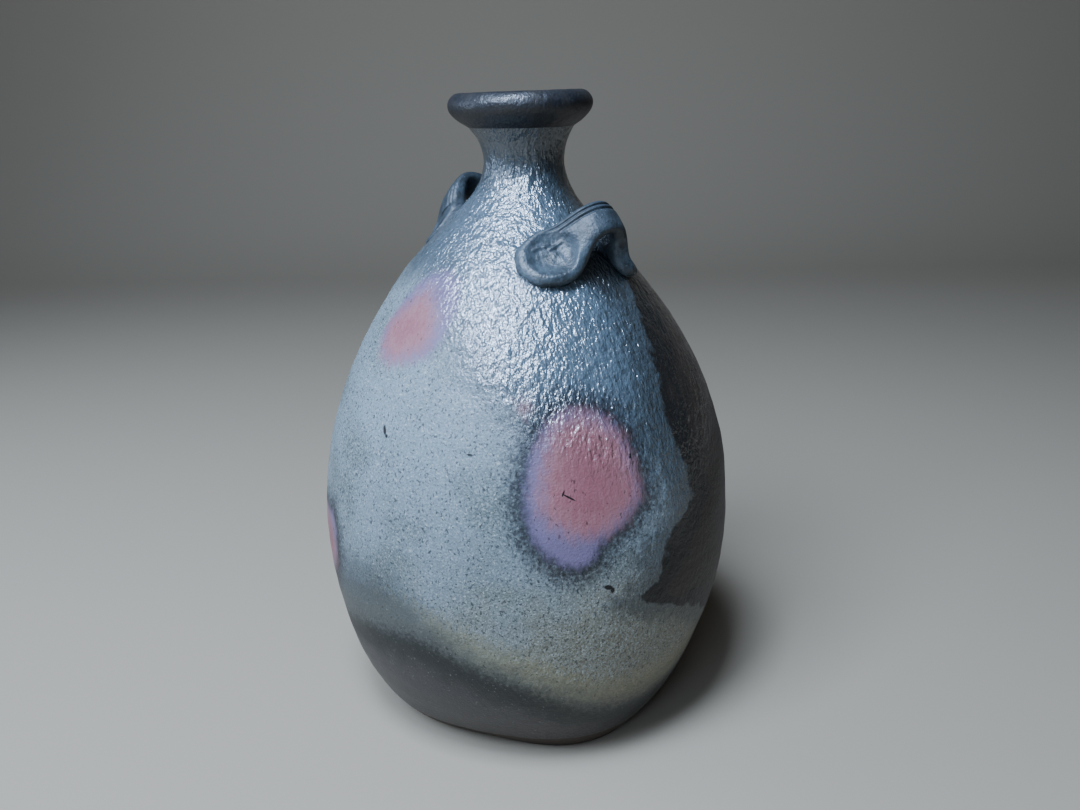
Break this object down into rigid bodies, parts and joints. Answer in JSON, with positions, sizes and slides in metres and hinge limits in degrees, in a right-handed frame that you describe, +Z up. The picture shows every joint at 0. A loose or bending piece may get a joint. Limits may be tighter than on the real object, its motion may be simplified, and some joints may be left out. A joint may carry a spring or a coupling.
{
  "type": "sake bottle",
  "caption": "Large wood-fired stoneware sake bottle: flat foot, egg-shaped body, narrow waisted neck under a heavy rolled mouth ring, and strap lugs on opposite shoulders for a carrying cord.",
  "frame": {"origin": "centre of the flat foot, on the surface the bottle stands on", "axes": "+Z up the bottle's axis to the mouth, +X out through the middle of one lug, -X out through the other, +Y a quarter turn to the left of +X seen from above"},
  "size_m": [0.2136, 0.2136, 0.318],
  "materials": {
    "bare_base": "unglazed dark brown stoneware, rubbed smooth at the arris",
    "ash_body": "grey-blue natural ash coat, satin to glossy, with round red-orange marks and a dark scorched side",
    "ash_neck": "dark grey-green natural ash, satin",
    "dark_ring": "charcoal brown stoneware with a faint bluish sheen",
    "ash_lug": "blue-grey satin ash over dark clay"
  },
  "bodies": {
    "root": {"base_slab": "bare_base", "body_wall": "ash_body", "neck": "ash_neck", "mouth_ring": "dark_ring", "lug_right": "ash_lug", "lug_left": "ash_lug"}
  },
  "joints": []
}
